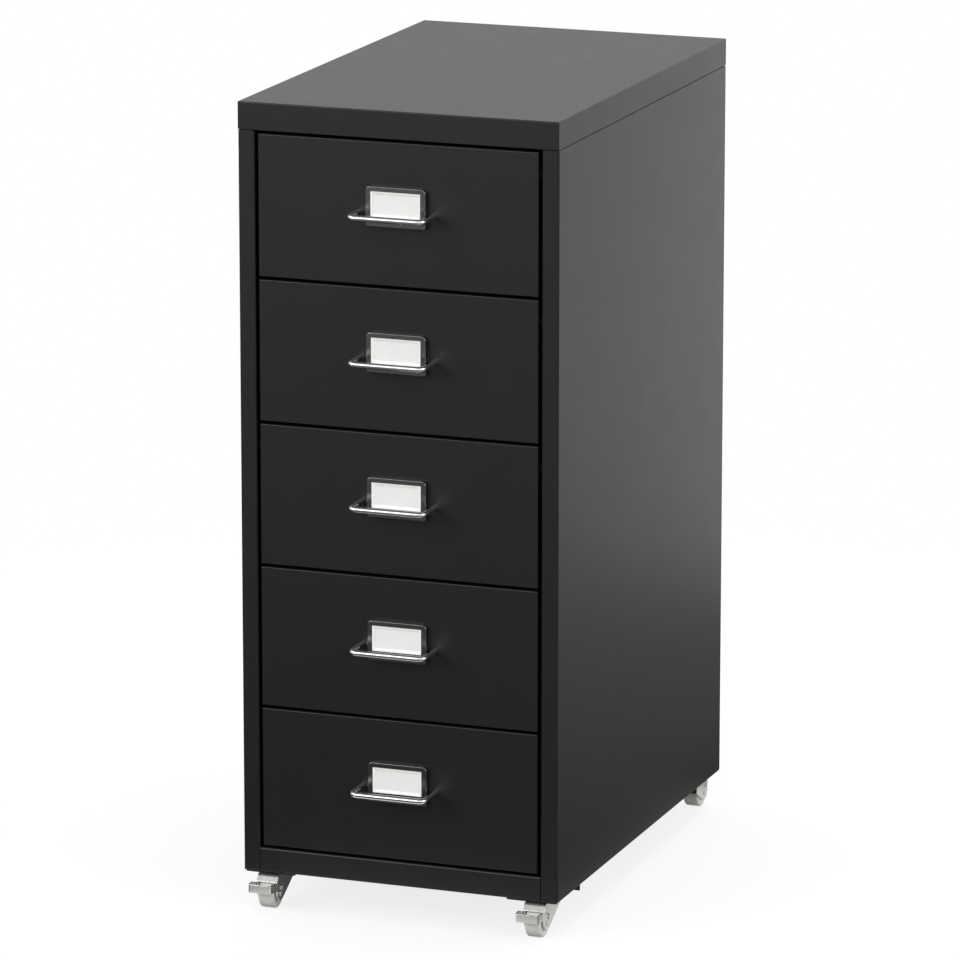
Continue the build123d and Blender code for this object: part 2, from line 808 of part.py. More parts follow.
def make_pedal(profile, plan):
    """Brake pedal: a bent strip with a front plate, two arms outside the cheeks and a shoe."""
    plate = castor_trail + pedal_reach
    low = pedal_top - pedal_height
    arm_top = pivot_z + pedal_boss_radius
    arm_low = pivot_z - pedal_boss_radius
    tail = pivot_u - pedal_tail
    half_plate = pedal_width / 2
    shoe_tip = castor_trail + ((wheel_radius + shoe_gap) ** 2 - (low - axle_z) ** 2) ** 0.5
    with BuildPart() as pedal:
        with BuildSketch(plan.offset(arm_low)):
            with BuildLine():
                FilletPolyline(
                    (tail, pedal_arm_outer),
                    (plate - pedal_shoulder, pedal_arm_outer),
                    (plate, half_plate),
                    (plate, -half_plate),
                    (plate - pedal_shoulder, -pedal_arm_outer),
                    (tail, -pedal_arm_outer),
                    radius=pedal_bend,
                )
                offset(amount=pedal_sheet, side=Side.RIGHT)
            make_face()
        extrude(amount=pedal_top - arm_low)
        with BuildSketch(profile):
            with BuildLine():
                FilletPolyline(
                    (tail, arm_top),
                    (pivot_u + pedal_boss_radius, arm_top),
                    (plate - pedal_shoulder, pedal_top),
                    (plate, pedal_top),
                    (plate, low),
                    (plate - pedal_shoulder, low),
                    (pivot_u + pedal_boss_radius, arm_low),
                    (tail, arm_low),
                    radius=(
                        pedal_boss_bend,
                        pedal_bend,
                        pedal_bend,
                        pedal_corner,
                        pedal_corner,
                        pedal_bend,
                        pedal_bend,
                        pedal_boss_bend,
                    ),
                    close=True,
                )
            make_face()
        extrude(amount=2 * pedal_arm_outer, both=True, mode=Mode.INTERSECT)
        with BuildSketch(plan.offset(low)):
            with Locations(((shoe_tip + plate - pedal_sheet / 2) / 2, 0)):
                Rectangle(plate - pedal_sheet / 2 - shoe_tip, shoe_width)
        extrude(amount=shoe_thickness)
        with BuildSketch(profile):
            with Locations((pivot_u, pivot_z)):
                Circle(pedal_pin_radius + running_clearance)
        extrude(amount=2 * pedal_arm_outer, both=True, mode=Mode.SUBTRACT)
    return pedal.part


def make_pedal_pins(profile):
    """Two headed pins: each is fast in a cheek and carries one arm of the pedal."""
    with BuildPart() as pins:
        for face in (-1, 1):
            with BuildSketch(profile.offset(face * cheek_inner)):
                with Locations((pivot_u, pivot_z)):
                    Circle(pedal_pin_radius)
            extrude(amount=face * (pedal_arm_outer + pedal_side_gap / 2 - cheek_inner))
            with BuildSketch(profile.offset(face * (pedal_arm_outer + pedal_side_gap / 2))):
                with Locations((pivot_u, pivot_z)):
                    Circle(pedal_pin_head_radius)
            extrude(amount=face * pedal_pin_head)
    return pins.part


# ---------------------------------------------------------------- assembly
os.makedirs("parts", exist_ok=True)

save(make_top_cover(), "top_cover")
save(make_side_panel(-1), "left_side_panel")
save(make_side_panel(1), "right_side_panel")
save(make_back_panel(), "back_panel")
save(make_bottom_panel(), "bottom_panel")
save(make_bottom_rail(), "front_bottom_rail")
save(make_top_rail(), "front_top_rail")
save(make_runners(-1), "left_drawer_runners")
save(make_runners(1), "right_drawer_runners")
save(make_brackets(), "castor_brackets")
save(make_casing_screws(), "casing_screws")
save(make_stems(), "castor_stems")
save(make_stem_nuts(), "castor_stem_nuts")

for level in range(1, drawer_count + 1):
    save(make_drawer_front(level), f"drawer_{level}_front")
    save(make_drawer_tray(level), f"drawer_{level}_tray")
    save(make_pull(level), f"drawer_{level}_pull")
    save(make_pull_screws(level), f"drawer_{level}_pull_screws")
    save(make_label_frame(level), f"drawer_{level}_label_frame")
    save(make_label_card(level), f"drawer_{level}_label_card")

for end, end_name in ((-1, "front"), (1, "rear")):
    for side, side_name in ((-1, "left"), (1, "right")):
        profile, plan = castor_planes(side, end)
        castor_name = f"{end_name}_{side_name}_castor"
        save(make_fork(profile, plan), f"{castor_name}_fork")
        save(make_wheel(profile), f"{castor_name}_wheel")
        save(make_axle(profile), f"{castor_name}_axle")
        if end < 0:
            save(make_pedal(profile, plan), f"{castor_name}_brake_pedal")
            save(make_pedal_pins(profile), f"{castor_name}_pedal_pins")

print("overall", overall_width, overall_depth, overall_height)
print("front face", front_y, "rear face", rear_y, "casing bottom", casing_z)
print("drawer height", drawer_height, "pitch", drawer_pitch, "width", drawer_width)
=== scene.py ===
import json
import math

import bmesh
import bpy
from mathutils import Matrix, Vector


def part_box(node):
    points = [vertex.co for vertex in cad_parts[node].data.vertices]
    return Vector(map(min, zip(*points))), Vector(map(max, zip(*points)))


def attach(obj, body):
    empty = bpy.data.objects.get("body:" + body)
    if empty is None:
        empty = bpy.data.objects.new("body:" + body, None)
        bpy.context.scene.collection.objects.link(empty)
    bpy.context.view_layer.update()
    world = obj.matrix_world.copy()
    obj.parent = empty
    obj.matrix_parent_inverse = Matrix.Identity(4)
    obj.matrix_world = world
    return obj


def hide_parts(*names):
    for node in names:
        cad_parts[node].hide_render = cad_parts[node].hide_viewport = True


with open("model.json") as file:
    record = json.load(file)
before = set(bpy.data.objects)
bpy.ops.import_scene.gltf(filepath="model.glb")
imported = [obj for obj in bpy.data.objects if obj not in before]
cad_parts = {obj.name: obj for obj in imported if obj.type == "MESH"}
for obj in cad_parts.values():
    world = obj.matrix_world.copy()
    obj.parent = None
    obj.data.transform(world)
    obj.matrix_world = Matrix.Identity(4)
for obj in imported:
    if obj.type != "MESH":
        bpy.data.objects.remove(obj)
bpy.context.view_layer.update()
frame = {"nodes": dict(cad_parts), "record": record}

# A small black sheet-metal drawer cabinet on castors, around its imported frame.
# The front faces -Y and +Z is up. The camera and the studio are in metres. The sizes of textures
# and of added pieces are in millimetres, and become metres where a node or a mesh is made.
MILLIMETRE = 0.001
DRAWERS = 5

# ---------------------------------------------------------------- camera, from the photograph
IMAGE_SIDE = 960
FOCAL_PIXELS = 6519.0
SENSOR_WIDTH = 36.0
CAMERA_PLACE = (1.8764, -5.0722, 1.6341)
CAMERA_YAW = math.radians(20.33)
CAMERA_PITCH = math.radians(13.49)
CLIP_SPAN = (0.1, 100.0)


def make_camera():
    """A camera at the photograph's viewing angle, with no shift and no depth of field."""
    data = bpy.data.cameras.new("camera")
    data.sensor_width = SENSOR_WIDTH
    data.lens = FOCAL_PIXELS * SENSOR_WIDTH / IMAGE_SIDE
    data.clip_start, data.clip_end = CLIP_SPAN
    camera = bpy.data.objects.new("camera", data)
    bpy.context.scene.collection.objects.link(camera)
    camera.location = CAMERA_PLACE
    looking = Vector((
        -math.sin(CAMERA_YAW) * math.cos(CAMERA_PITCH),
        math.cos(CAMERA_YAW) * math.cos(CAMERA_PITCH),
        -math.sin(CAMERA_PITCH),
    ))
    camera.rotation_mode = "QUATERNION"
    camera.rotation_quaternion = looking.to_track_quat("-Z", "Y")
    bpy.context.scene.camera = camera


# ---------------------------------------------------------------- node helpers
WHOLE = (0.0, 1.0)


class Graph:
    """A material or world node tree with short ways to add and join nodes."""

    def __init__(self, tree):
        self.tree = tree

    def add(self, kind, inputs=None, **settings):
        """A new node. Each input is a value or another node's output."""
        node = self.tree.nodes.new(kind)
        for name, value in settings.items():
            setattr(node, name, value)
        for name, value in (inputs or {}).items():
            if isinstance(value, bpy.types.NodeSocket):
                self.tree.links.new(value, node.inputs[name])
            else:
                node.inputs[name].default_value = value
        return node

    def math(self, operation, a, b):
        return self.add("ShaderNodeMath", {0: a, 1: b}, operation=operation).outputs[0]

    def total(self, value, *others):
        for other in others:
            value = self.math("ADD", value, other)
        return value

    def vector_math(self, operation, a, b=(0, 0, 0)):
        return self.add("ShaderNodeVectorMath", {0: a, 1: b}, operation=operation)

    def ramp(self, value, span, to=WHOLE, smooth=False):
        """Map a value from one span to another, held at both ends."""
        node = self.add(
            "ShaderNodeMapRange",
            {"Value": value, "From Min": span[0], "From Max": span[1], "To Min": to[0], "To Max": to[1]},
            interpolation_type="SMOOTHSTEP" if smooth else "LINEAR",
        )
        return node.outputs["Result"]

    def mix_colour(self, factor, a, b):
        node = self.add("ShaderNodeMix", {0: factor, 6: a, 7: b}, data_type="RGBA")
        return node.outputs[2]

    def noise(self, vector, size, detail=2.0, roughness=0.5):
        """Noise whose features are about one size across, in millimetres."""
        node = self.add(
            "ShaderNodeTexNoise",
            {
                "Vector": vector,
                "Scale": 1 / (size * MILLIMETRE),
                "Detail": detail,
                "Roughness": roughness,
            },
        )
        return node.outputs["Fac"]


def grey(value):
    return (value, value, value, 1.0)


def new_material(name):
    """A material with its graph, its shader and the object's own coordinates."""
    material = bpy.data.materials.new(name)
    material.use_nodes = True
    graph = Graph(material.node_tree)
    shader = material.node_tree.nodes["Principled BSDF"]
    place = graph.add("ShaderNodeTexCoord").outputs["Object"]
    return material, graph, shader, place


def join(graph, output, shader, socket):
    graph.tree.links.new(output, shader.inputs[socket])


# ---------------------------------------------------------------- shared surface detail
# Spans that are mapped to 0 to 1: how far the rounded normal leaves the plain one, how open a
# place is, and where most of a noise's values lie.
EDGE_SPAN = (0.0, 0.25)
OPEN_SPAN = (0.25, 0.8)
NOISE_SPAN = (0.3, 0.7)
HAZE_SPAN = (0.35, 0.75)
EDGE_SAMPLES = 4
OPEN_SAMPLES = 8


def rounded_edges(graph, radius):
    """The surface's normal, turned near an edge as if the edge were rounded to the radius."""
    node = graph.add("ShaderNodeBevel", {"Radius": radius * MILLIMETRE}, samples=EDGE_SAMPLES)
    return node.outputs["Normal"]


def worn_edges(graph, rounded):
    """0 on flats and up to 1 where the rounded normal leaves the plain one."""
    plain = graph.add("ShaderNodeNewGeometry").outputs["Normal"]
    likeness = graph.vector_math("DOT_PRODUCT", rounded, plain).outputs["Value"]
    return graph.ramp(graph.math("SUBTRACT", 1.0, likeness), EDGE_SPAN)


def crevices(graph, reach):
    """1 in the open and towards 0 where other surfaces stand nearer than the reach."""
    shade = graph.add(
        "ShaderNodeAmbientOcclusion", {"Distance": reach * MILLIMETRE}, samples=OPEN_SAMPLES
    )
    return graph.ramp(shade.outputs["AO"], OPEN_SPAN, smooth=True)


def bump(graph, shader, height, strength, depth, normal=None):
    """Relief as high as the depth, in millimetres, on the rounded normal where there is one."""
    inputs = {"Strength": strength, "Distance": depth * MILLIMETRE, "Height": height}
    if normal is not None:
        inputs["Normal"] = normal
    node = graph.add("ShaderNodeBump", inputs)
    join(graph, node.outputs["Normal"], shader, "Normal")


# ---------------------------------------------------------------- materials
# Tones are pairs of linear colours that a noise mixes. A share is how much of a rubbed, scuffed
# or fibrous colour shows at most, and a roughness is a span that a noise runs over.
PAINT_TONES = (0.0046, 0.0060, 0.0056, 1.0), (0.0062, 0.0072, 0.0066, 1.0)
PAINT_RUBBED = (0.05, 0.05, 0.049, 1.0)
PAINT_RUBBED_SHARE = 0.5
PAINT_RUBBED_PATCHES = (0.45, 0.7)
PAINT_RUBBED_POLISH = 0.08
PAINT_ROUGHNESS = (0.385, 0.405)


def make_powder_coat():
    """Near-black satin powder coat: fine orange peel, uneven gloss and slightly rubbed edges."""
    material, graph, shader, place = new_material("powder_coat")
    rounded = rounded_edges(graph, radius=0.5)
    patches = graph.ramp(graph.noise(place, size=6, detail=3.0), PAINT_RUBBED_PATCHES)
    rub = graph.math("MULTIPLY", worn_edges(graph, rounded), patches)
    body = graph.mix_colour(graph.noise(place, size=200), *PAINT_TONES)
    share = graph.math("MULTIPLY", rub, PAINT_RUBBED_SHARE)
    join(graph, graph.mix_colour(share, body, PAINT_RUBBED), shader, "Base Color")
    satin = graph.ramp(graph.noise(place, size=30, detail=4.0), NOISE_SPAN, PAINT_ROUGHNESS)
    polish = graph.math("MULTIPLY", rub, PAINT_RUBBED_POLISH)
    join(graph, graph.math("SUBTRACT", satin, polish), shader, "Roughness")
    peel = graph.noise(place, size=1.1, detail=1.5, roughness=0.4)
    bump(graph, shader, peel, strength=0.10, depth=0.05, normal=rounded)
    return material


CHROME_TONES = (0.86, 0.87, 0.88, 1.0), (0.93, 0.93, 0.93, 1.0)
CHROME_ROUGHNESS = (0.045, 0.11)
CHROME_EDGE_ROUGHNESS = 0.05
HAIRLINE_STRETCH = (0.05, 1.0, 1.0)


def make_chrome():
    """Bright plate with faint haze and hairline handling marks."""
    material, graph, shader, place = new_material("chrome_plate")
    shader.inputs["Metallic"].default_value = 1.0
    rounded = rounded_edges(graph, radius=0.3)
    haze = graph.noise(place, size=9, detail=4.0, roughness=0.6)
    join(graph, graph.mix_colour(haze, *CHROME_TONES), shader, "Base Color")
    gloss = graph.ramp(haze, HAZE_SPAN, CHROME_ROUGHNESS)
    worn = graph.math("MULTIPLY", worn_edges(graph, rounded), CHROME_EDGE_ROUGHNESS)
    join(graph, graph.math("ADD", gloss, worn), shader, "Roughness")
    stretched = graph.vector_math("MULTIPLY", place, HAIRLINE_STRETCH).outputs["Vector"]
    hair = graph.noise(stretched, size=0.25)
    bump(graph, shader, hair, strength=0.03, depth=0.01, normal=rounded)
    return material


NICKEL_TONES = (0.18, 0.185, 0.19, 1.0), (0.23, 0.23, 0.23, 1.0)
NICKEL_RUBBED = grey(0.5)
NICKEL_RUBBED_SHARE = 0.08
NICKEL_ROUGHNESS = (0.17, 0.24)


def make_dark_nickel():
    """Dark satin plate on the label frames, cloudy and a little brighter where an edge is rubbed."""
    material, graph, shader, place = new_material("dark_nickel")
    shader.inputs["Metallic"].default_value = 1.0
    rounded = rounded_edges(graph, radius=0.15)
    haze = graph.noise(place, size=8, detail=4.0, roughness=0.6)
    tone = graph.mix_colour(haze, *NICKEL_TONES)
    share = graph.math("MULTIPLY", worn_edges(graph, rounded), NICKEL_RUBBED_SHARE)
    join(graph, graph.mix_colour(share, tone, NICKEL_RUBBED), shader, "Base Color")
    join(graph, graph.ramp(haze, HAZE_SPAN, NICKEL_ROUGHNESS), shader, "Roughness")
    grain = graph.noise(place, size=0.4)
    bump(graph, shader, grain, strength=0.06, depth=0.02, normal=rounded)
    return material


ZINC_METALLIC = 0.85
ZINC_TONES = (0.74, 0.76, 0.75, 1.0), (0.84, 0.85, 0.84, 1.0)
ZINC_RUBBED = grey(0.95)
ZINC_RUBBED_SHARE = 0.7
ZINC_CREVICE_SHADE = (0.16, 0.16, 0.155, 1.0)
ZINC_CREVICE_SHADE_REACH = 1.6
ZINC_ROUGHNESS = (0.17, 0.27)


def make_zinc():
    """Bright zinc plate on pressed steel: cloudy tone, fine grain, rubbed edges, painted shade in crevices.
    """
    material, graph, shader, place = new_material("zinc_plate")
    shader.inputs["Metallic"].default_value = ZINC_METALLIC
    rounded = rounded_edges(graph, radius=0.35)
    cloud = graph.noise(place, size=4, detail=4.0, roughness=0.6)
    tone = graph.mix_colour(cloud, *ZINC_TONES)
    share = graph.math("MULTIPLY", worn_edges(graph, rounded), ZINC_RUBBED_SHARE)
    bright = graph.mix_colour(share, tone, ZINC_RUBBED)
    # Painted shade: the base colour darkens in crevices, where ambient occlusion finds other surfaces near.
    open_air = crevices(graph, ZINC_CREVICE_SHADE_REACH)
    join(graph, graph.mix_colour(open_air, ZINC_CREVICE_SHADE, bright), shader, "Base Color")
    join(graph, graph.ramp(cloud, NOISE_SPAN, ZINC_ROUGHNESS), shader, "Roughness")
    grain = graph.noise(place, size=0.5, detail=3.0)
    bump(graph, shader, grain, strength=0.12, depth=0.03, normal=rounded)
    return material


CARD_TONES = (0.87, 0.88, 0.88, 1.0), (0.92, 0.92, 0.915, 1.0)
CARD_FIBRE = (0.70, 0.70, 0.69, 1.0)
CARD_FIBRE_SHARE = 0.15
CARD_ROUGHNESS = (0.62, 0.78)
CARD_SPECULAR = 0.35


def make_card():
    """Blank label card: pale, matt, with a faint fibre."""
    material, graph, shader, place = new_material("label_card")
    fibre = graph.noise(place, size=0.6, detail=4.0, roughness=0.7)
    pulp = graph.mix_colour(graph.noise(place, size=15), *CARD_TONES)
    share = graph.math("MULTIPLY", fibre, CARD_FIBRE_SHARE)
    join(graph, graph.mix_colour(share, pulp, CARD_FIBRE), shader, "Base Color")
    join(graph, graph.ramp(fibre, NOISE_SPAN, CARD_ROUGHNESS), shader, "Roughness")
    shader.inputs["Specular IOR Level"].default_value = CARD_SPECULAR
    bump(graph, shader, fibre, strength=0.15, depth=0.03)
    return material


LINER_TONES = (0.90, 0.90, 0.89, 1.0), (0.95, 0.95, 0.945, 1.0)
LINER_ROUGHNESS = (0.22, 0.32)


def make_liner_plastic():
    """Glossy white moulding round the card window, faintly yellowed in patches."""
    material, graph, shader, place = new_material("label_liner")
    cloud = graph.noise(place, size=6, detail=3.0)
    join(graph, graph.mix_colour(cloud, *LINER_TONES), shader, "Base Color")
    join(graph, graph.ramp(cloud, NOISE_SPAN, LINER_ROUGHNESS), shader, "Roughness")
    return material


WHEEL_TONES = (0.70, 0.70, 0.675, 1.0), (0.78, 0.775, 0.75, 1.0)
WHEEL_SCUFFS = (0.52, 0.515, 0.49, 1.0)
WHEEL_SCUFFS_SHARE = 0.35
WHEEL_SCUFFS_SPAN = (0.56, 0.72)
WHEEL_ROUGHNESS = (0.38, 0.55)


def make_wheel_plastic():
    """Pale warm grey moulded plastic, scuffed in small patches that are a little duller."""
    material, graph, shader, place = new_material("wheel_plastic")
    rounded = rounded_edges(graph, radius=0.3)
    body = graph.mix_colour(graph.noise(place, size=5, detail=3.0), *WHEEL_TONES)
    scuffs = graph.ramp(graph.noise(place, size=1.5, detail=4.0, roughness=0.7), WHEEL_SCUFFS_SPAN)
    share = graph.math("MULTIPLY", scuffs, WHEEL_SCUFFS_SHARE)
    join(graph, graph.mix_colour(share, body, WHEEL_SCUFFS), shader, "Base Color")
    join(graph, graph.ramp(scuffs, WHOLE, WHEEL_ROUGHNESS), shader, "Roughness")
    grain = graph.noise(place, size=0.4)
    bump(graph, shader, grain, strength=0.1, depth=0.03, normal=rounded)
    return material


def dress_cad_nodes(materials):
    """Give every CAD node the material of its slot in the record."""
    slots = {row["node"]: row["material_slot"] for row in frame["record"]["subparts"]}
    for name, node in frame["nodes"].items():
        node.data.materials.clear()
        node.data.materials.append(materials[slots[name]])


# ---------------------------------------------------------------- mesh helpers
AXIS_RADIUS = 0.02      # instead of 0, where a section ends on its axis


def wall_faces(first, rows, count, closed):
    """Faces that join rows of points, each to the next, and the last to the first if closed."""
    faces = []
    for row in range(rows if closed else rows - 1):
        near = first + row * count
        far = first + (row + 1) % rows * count
        for step in range(count):
            after = (step + 1) % count
            faces.append((near + step, near + after, far + after, far + step))
    return faces


def new_mesh(name, points, faces):
    mesh = bpy.data.meshes.new(name)
    mesh.from_pydata(points, [], faces)
    mesh.update()
    return mesh


def loft(name, loops):
    """A ring-shaped mesh that joins loops of equal length, each to the next and the last to the first."""
    points = [point for loop in loops for point in loop]
    return new_mesh(name, points, wall_faces(0, len(loops), len(loops[0]), closed=True))


def turned(name, profile, centre, axis, segments):
    """A closed lathe mesh: the profile's (along, radius) points turned round X or Z."""
    loops = []
    for along, radius in profile:
        loop = []
        for step in range(segments):
            angle = 2 * math.pi * step / segments
            first, second = radius * math.cos(angle), radius * math.sin(angle)
            offset = (along, first, second) if axis == "X" else (first, second, along)
            loop.append(Vector(centre) + Vector(offset) * MILLIMETRE)
        loops.append(loop)
    return loft(name, loops)


def finish_piece(name, mesh, material, body, sharp_angle):
    """Link the piece with its normals outward, give it its material and let it ride on its body.

    Edges that turn by more than the sharp angle, in degrees, stay sharp.
    """
    work = bmesh.new()
    work.from_mesh(mesh)
    bmesh.ops.recalc_face_normals(work, faces=work.faces)
    work.to_mesh(mesh)
    work.free()
    mesh.materials.append(material)
    piece = bpy.data.objects.new(name, mesh)
    bpy.context.scene.collection.objects.link(piece)
    mesh.shade_smooth()
    mesh.set_sharp_from_angle(angle=math.radians(sharp_angle))
    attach(piece, body)
    return piece


def islands(node):
    """The lowest and highest corner of each connected patch of a CAD node's mesh."""
    work = bmesh.new()
    work.from_mesh(node.data)
    unseen = set(work.verts)
    boxes = []
    while unseen:
        stack = [unseen.pop()]
        found = []
        while stack:
            vertex = stack.pop()
            found.append(vertex.co.copy())
            for edge in vertex.link_edges:
                other = edge.other_vert(vertex)
                if other in unseen:
                    unseen.discard(other)
                    stack.append(other)
        low = Vector([min(point[axis] for point in found) for axis in range(3)])
        high = Vector([max(point[axis] for point in found) for axis in range(3)])
        boxes.append((low, high))
    work.free()
    return boxes


TOUCHING = 0.1


def touch(box_a, box_b):
    (low_a, high_a), (low_b, high_b) = box_a, box_b
    near = TOUCHING * MILLIMETRE
    return all(low_a[k] <= high_b[k] + near and low_b[k] <= high_a[k] + near for k in range(3))


def joined_box(box_a, box_b):
    (low_a, high_a), (low_b, high_b) = box_a, box_b
    low = Vector([min(low_a[k], low_b[k]) for k in range(3)])
    high = Vector([max(high_a[k], high_b[k]) for k in range(3)])
    return low, high


def solid_boxes(node):
    """The box of each solid in a CAD node, in order along X.

    A CAD mesh has a seam at each sharp edge, so a solid is several islands whose boxes touch.
    """
    waiting = islands(node)
    solids = []
    while waiting:
        box = waiting.pop()
        beside = [other for other in waiting + solids if touch(box, other)]
        if beside:
            waiting = [other for other in waiting if not touch(box, other)]
            solids = [other for other in solids if not touch(box, other)]
            for other in beside:
                box = joined_box(box, other)
            waiting.append(box)
        else:
            solids.append(box)
    return sorted(solids, key=lambda box: tuple(box[0]))


# ---------------------------------------------------------------- label liners
WINDOW_TOP_BEZEL = 4.4
WINDOW_WIDTH = 42.6
WINDOW_HEIGHT = 20.8
LINER_LIP = 0.35
LINER_FACE = 1.9
LINER_DEPTH = 1.05
LINER_PROUD = 0.12
LINER_SHEET = 0.25
LINER_CORNER = 0.6
LINER_CORNER_STEPS = 6
LINER_SHARP = 40

# The liner's section: how far in from the window's edge, and how far behind the frame's face.
LINER_PROFILE = (
    (-LINER_LIP, LINER_SHEET - LINER_PROUD),
    (-LINER_LIP, -LINER_PROUD),
    (0.0, -LINER_PROUD),
    (LINER_FACE, LINER_DEPTH - LINER_SHEET),
    (LINER_FACE, LINER_DEPTH),
    (0.0, LINER_SHEET - LINER_PROUD),
)


def rounded_loop(width, height, radius, middle, depth):
    """Points of an upright rounded rectangle, a depth behind the middle of the window."""
    points = []
    for quarter in range(4):
        sign_x = 1 if quarter in (0, 3) else -1
        sign_z = 1 if quarter in (0, 1) else -1
        corner = Vector((sign_x * (width / 2 - radius), depth, sign_z * (height / 2 - radius)))
        for step in range(LINER_CORNER_STEPS + 1):
            angle = math.pi / 2 * (quarter + step / LINER_CORNER_STEPS)
            point = corner + Vector((math.cos(angle), 0, math.sin(angle))) * radius
            points.append(middle + point * MILLIMETRE)
    return points


def make_label_liners(materials):
    """White bevelled liner that shows between each label frame and its card."""
    for level in range(1, DRAWERS + 1):
        low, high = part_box(f"drawer_{level}_label_frame")
        drop = (WINDOW_TOP_BEZEL + WINDOW_HEIGHT / 2) * MILLIMETRE
        middle = Vector(((low.x + high.x) / 2, low.y, high.z - drop))
        loops = [
            rounded_loop(WINDOW_WIDTH - 2 * inset, WINDOW_HEIGHT - 2 * inset, LINER_CORNER, middle, depth)
            for inset, depth in LINER_PROFILE
        ]
        finish_piece(
            f"drawer_{level}_label_liner", loft("label_liner", loops), materials["label_liner"],
            f"drawer_{level}", LINER_SHARP,
        )


# ---------------------------------------------------------------- screws
RECESS_CORE = 0.5
RECESS_WALL = 0.08
RECESS_RIM = 1.5
RECESS_DEPTH = 0.62     # as a share of the head's height
RECESS_ANGLES = (-13.5, -12.0, -5.0, 5.0, 12.0, 13.5, 32.0, 58.0)
RECESS_ARM = (-12.0, -5.0, 5.0, 12.0)
HEAD_RADIUS = 3.0       # of the head that the rings below are drawn for: radius, share of its height
HEAD_RINGS = ((1.6, 0.99), (2.2, 0.93), (2.8, 0.72), (HEAD_RADIUS, 0.42), (HEAD_RADIUS, 0.0))
SHANK_RADIUS = 1.5
TIP_RADIUS = 0.9
TIP_LENGTH = 0.6
SCREW_TURN = 0.7        # in radians, from one screw to the next
SCREW_SHARP = 28
CASING_HEAD = 1.0
PULL_HEAD = 1.8


def screw_rings(head_radius, head_height, length, turn):
    """Rings of a cross-recessed screw: from the middle of its head outward, then down to its tip."""
    steps = 4 * RECESS_ANGLES
    angles = [math.radians(quarter * 90 + step) for quarter in range(4) for step in RECESS_ANGLES]

    def face_height(radius, step):
        recessed = radius <= RECESS_CORE or (step in RECESS_ARM and radius <= RECESS_RIM)
        return head_height * (1 - RECESS_DEPTH * recessed)

    rings = [
        [(radius, face_height(radius, step)) for step in steps]
        for radius in (AXIS_RADIUS, RECESS_CORE, RECESS_CORE + RECESS_WALL, RECESS_RIM)
    ]
    outline = [(head_radius * radius / HEAD_RADIUS, head_height * share) for radius, share in HEAD_RINGS]
    outline += [(SHANK_RADIUS, 0.0), (SHANK_RADIUS, TIP_LENGTH - length)]
    outline += [(TIP_RADIUS, -length), (AXIS_RADIUS, -length)]
    rings += [[point] * len(angles) for point in outline]
    return [
        [
            Vector((radius * math.cos(angle + turn), radius * math.sin(angle + turn), height))
            for (radius, height), angle in zip(ring, angles)
        ]
        for ring in rings
    ]


def make_screws(materials, node_name, body, head_height):
    """Cross-recessed screws in the places of a node's plain ones, each turned on from the one before.

    A screw that lies along Y has its head towards the back, and any other has it downward.
    """
    points = []
    faces = []
    for index, (low, high) in enumerate(solid_boxes(frame["nodes"][node_name])):
        size = high - low
        along_y = size.y > size.z
        reach = size.y if along_y else size.z
        across = Vector((1, 0, 0))
        outward = Vector((0, 1, 0)) if along_y else Vector((0, 0, -1))
        upward = outward.cross(across)
        seat = (low + high) / 2 + outward * (reach / 2 - head_height * MILLIMETRE)
        head_radius = size.x / 2 / MILLIMETRE
        length = reach / MILLIMETRE - head_height
        rings = screw_rings(head_radius, head_height, length, SCREW_TURN * index)
        base = len(points)
        for ring in rings:
            for point in ring:
                place = across * point.x + upward * point.y + outward * point.z
                points.append(seat + place * MILLIMETRE)
        count = len(rings[0])
        last = len(points) - count
        faces += wall_faces(base, len(rings), count, closed=False)
        faces += [tuple(range(base, base + count)), tuple(range(last, last + count))]
    mesh = new_mesh(node_name, points, faces)
    piece = finish_piece(
        f"{node_name}_recessed", mesh, materials["zinc_steel"], body, SCREW_SHARP
    )
    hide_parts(node_name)


# ---------------------------------------------------------------- wheels
# Half of the wheel's section, from its bore out to the middle of its tread. A point is its
# distance from the wheel's middle and its radius.
WHEEL_BOSS = [(7.0, 2.05), (7.0, 3.9), (6.8, 4.3), (6.2, 4.5)]
WHEEL_DISH = [(6.1, 5.2), (6.1, 8.3), (6.25, 8.9), (6.8, 9.15)]
WHEEL_RIM = [(7.0, 9.4), (7.0, 10.3)]
SHOULDER_MIDDLE = (4.8, 10.3)
SHOULDER_RADIUS = 2.2
SHOULDER_END = 84
SHOULDER_STEPS = 8
TREAD_GROOVE = [(4.6, 12.48), (4.45, 12.32), (4.3, 12.32), (4.15, 12.48)]
TREAD_MIDDLE = [(0.5, 12.5), (0.25, 12.44)]
WHEEL_SEGMENTS = 96
WHEEL_SHARP = 24


def shoulder():
    """The rounded stretch between the rim and the tread."""
    along, radius = SHOULDER_MIDDLE
    angles = [math.radians(SHOULDER_END * step / SHOULDER_STEPS) for step in range(SHOULDER_STEPS + 1)]
    return [
        (along + SHOULDER_RADIUS * math.cos(angle), radius + SHOULDER_RADIUS * math.sin(angle))
        for angle in angles
    ]


def wheel_profile():
    """One wheel's section: bore, hub boss, dished face, rim, rounded shoulder and grooved tread."""
    half = WHEEL_BOSS + WHEEL_DISH + WHEEL_RIM + shoulder() + TREAD_GROOVE + TREAD_MIDDLE
    return half + [(-along, radius) for along, radius in reversed(half)]


def make_wheels(materials):
    """Moulded wheels in place of the plain ones."""
    for end in ("front", "rear"):
        for side in ("left", "right"):
            node = f"{end}_{side}_castor_wheel"
            low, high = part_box(node)
            mesh = turned(node, wheel_profile(), (low + high) / 2, "X", WHEEL_SEGMENTS)
            piece = finish_piece(
                f"{node}_moulded", mesh, materials["wheel_plastic"], f"{end}_{side}_wheel",
                WHEEL_SHARP,
            )
            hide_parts(node)


